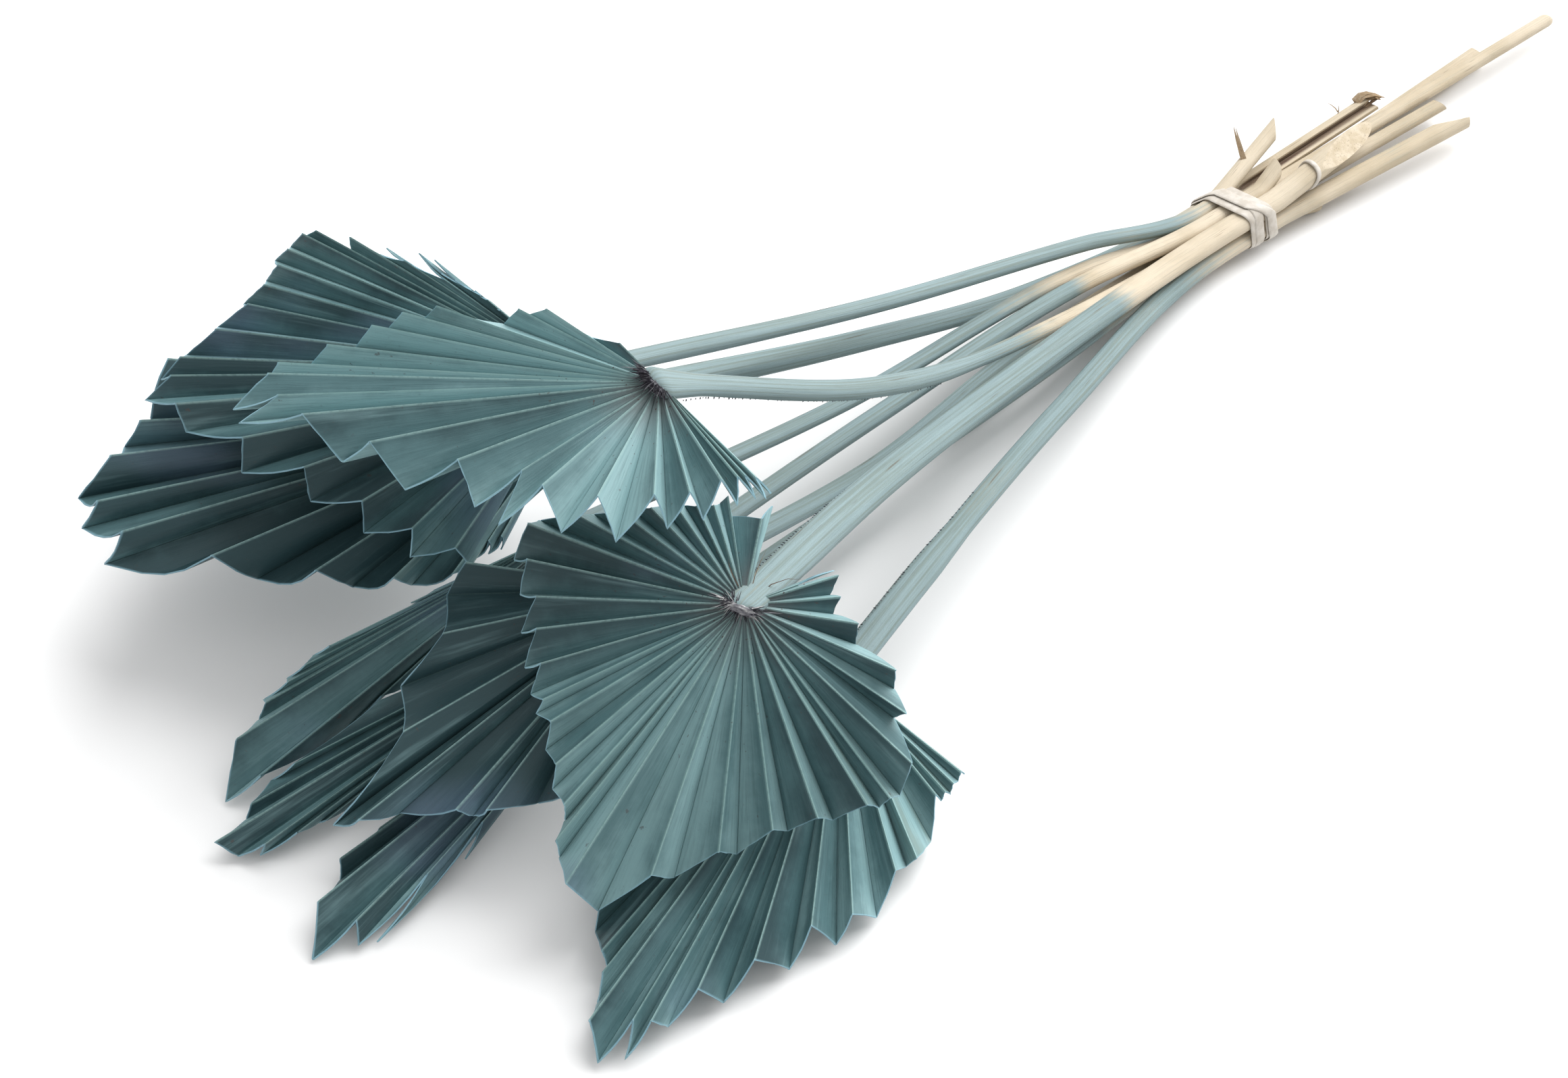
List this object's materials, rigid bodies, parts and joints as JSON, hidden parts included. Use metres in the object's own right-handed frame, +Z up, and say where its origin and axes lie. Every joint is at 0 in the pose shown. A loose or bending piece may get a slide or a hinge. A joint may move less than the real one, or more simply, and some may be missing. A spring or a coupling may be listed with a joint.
{
  "type": "fan palm leaf bunch",
  "caption": "Tied bunch of dried, dyed fan palm leaves trimmed to pleated spears on long stalks, held by a rubber band and lying flat.",
  "frame": {"origin": "on the surface the bunch lies on, under the middle of its bounding box", "axes": "+X along the bunch from the blades towards the cut stalk ends, +Y across it, +Z up"},
  "size_m": [0.5621, 0.2658, 0.1029],
  "materials": {
    "dyed_blade": "dry, fibrous, satin sheen along the folds",
    "dyed_stalk": "dry, finely fibrous, fading from blue-green to straw",
    "natural_rubber": "matte, dusty"
  },
  "bodies": {
    "root": {"leaf_1_blade": "dyed_blade", "leaf_1_stalk": "dyed_stalk", "leaf_2_blade": "dyed_blade", "leaf_2_stalk": "dyed_stalk", "leaf_3_blade": "dyed_blade", "leaf_3_stalk": "dyed_stalk", "leaf_4_blade": "dyed_blade", "leaf_4_stalk": "dyed_stalk", "leaf_5_blade": "dyed_blade", "leaf_5_stalk": "dyed_stalk", "leaf_6_blade": "dyed_blade", "leaf_6_stalk": "dyed_stalk", "leaf_7_blade": "dyed_blade", "leaf_7_stalk": "dyed_stalk", "leaf_8_blade": "dyed_blade", "leaf_8_stalk": "dyed_stalk", "leaf_9_blade": "dyed_blade", "leaf_9_stalk": "dyed_stalk", "rubber_band": "natural_rubber", "rubber_band_end": "natural_rubber"}
  },
  "joints": []
}
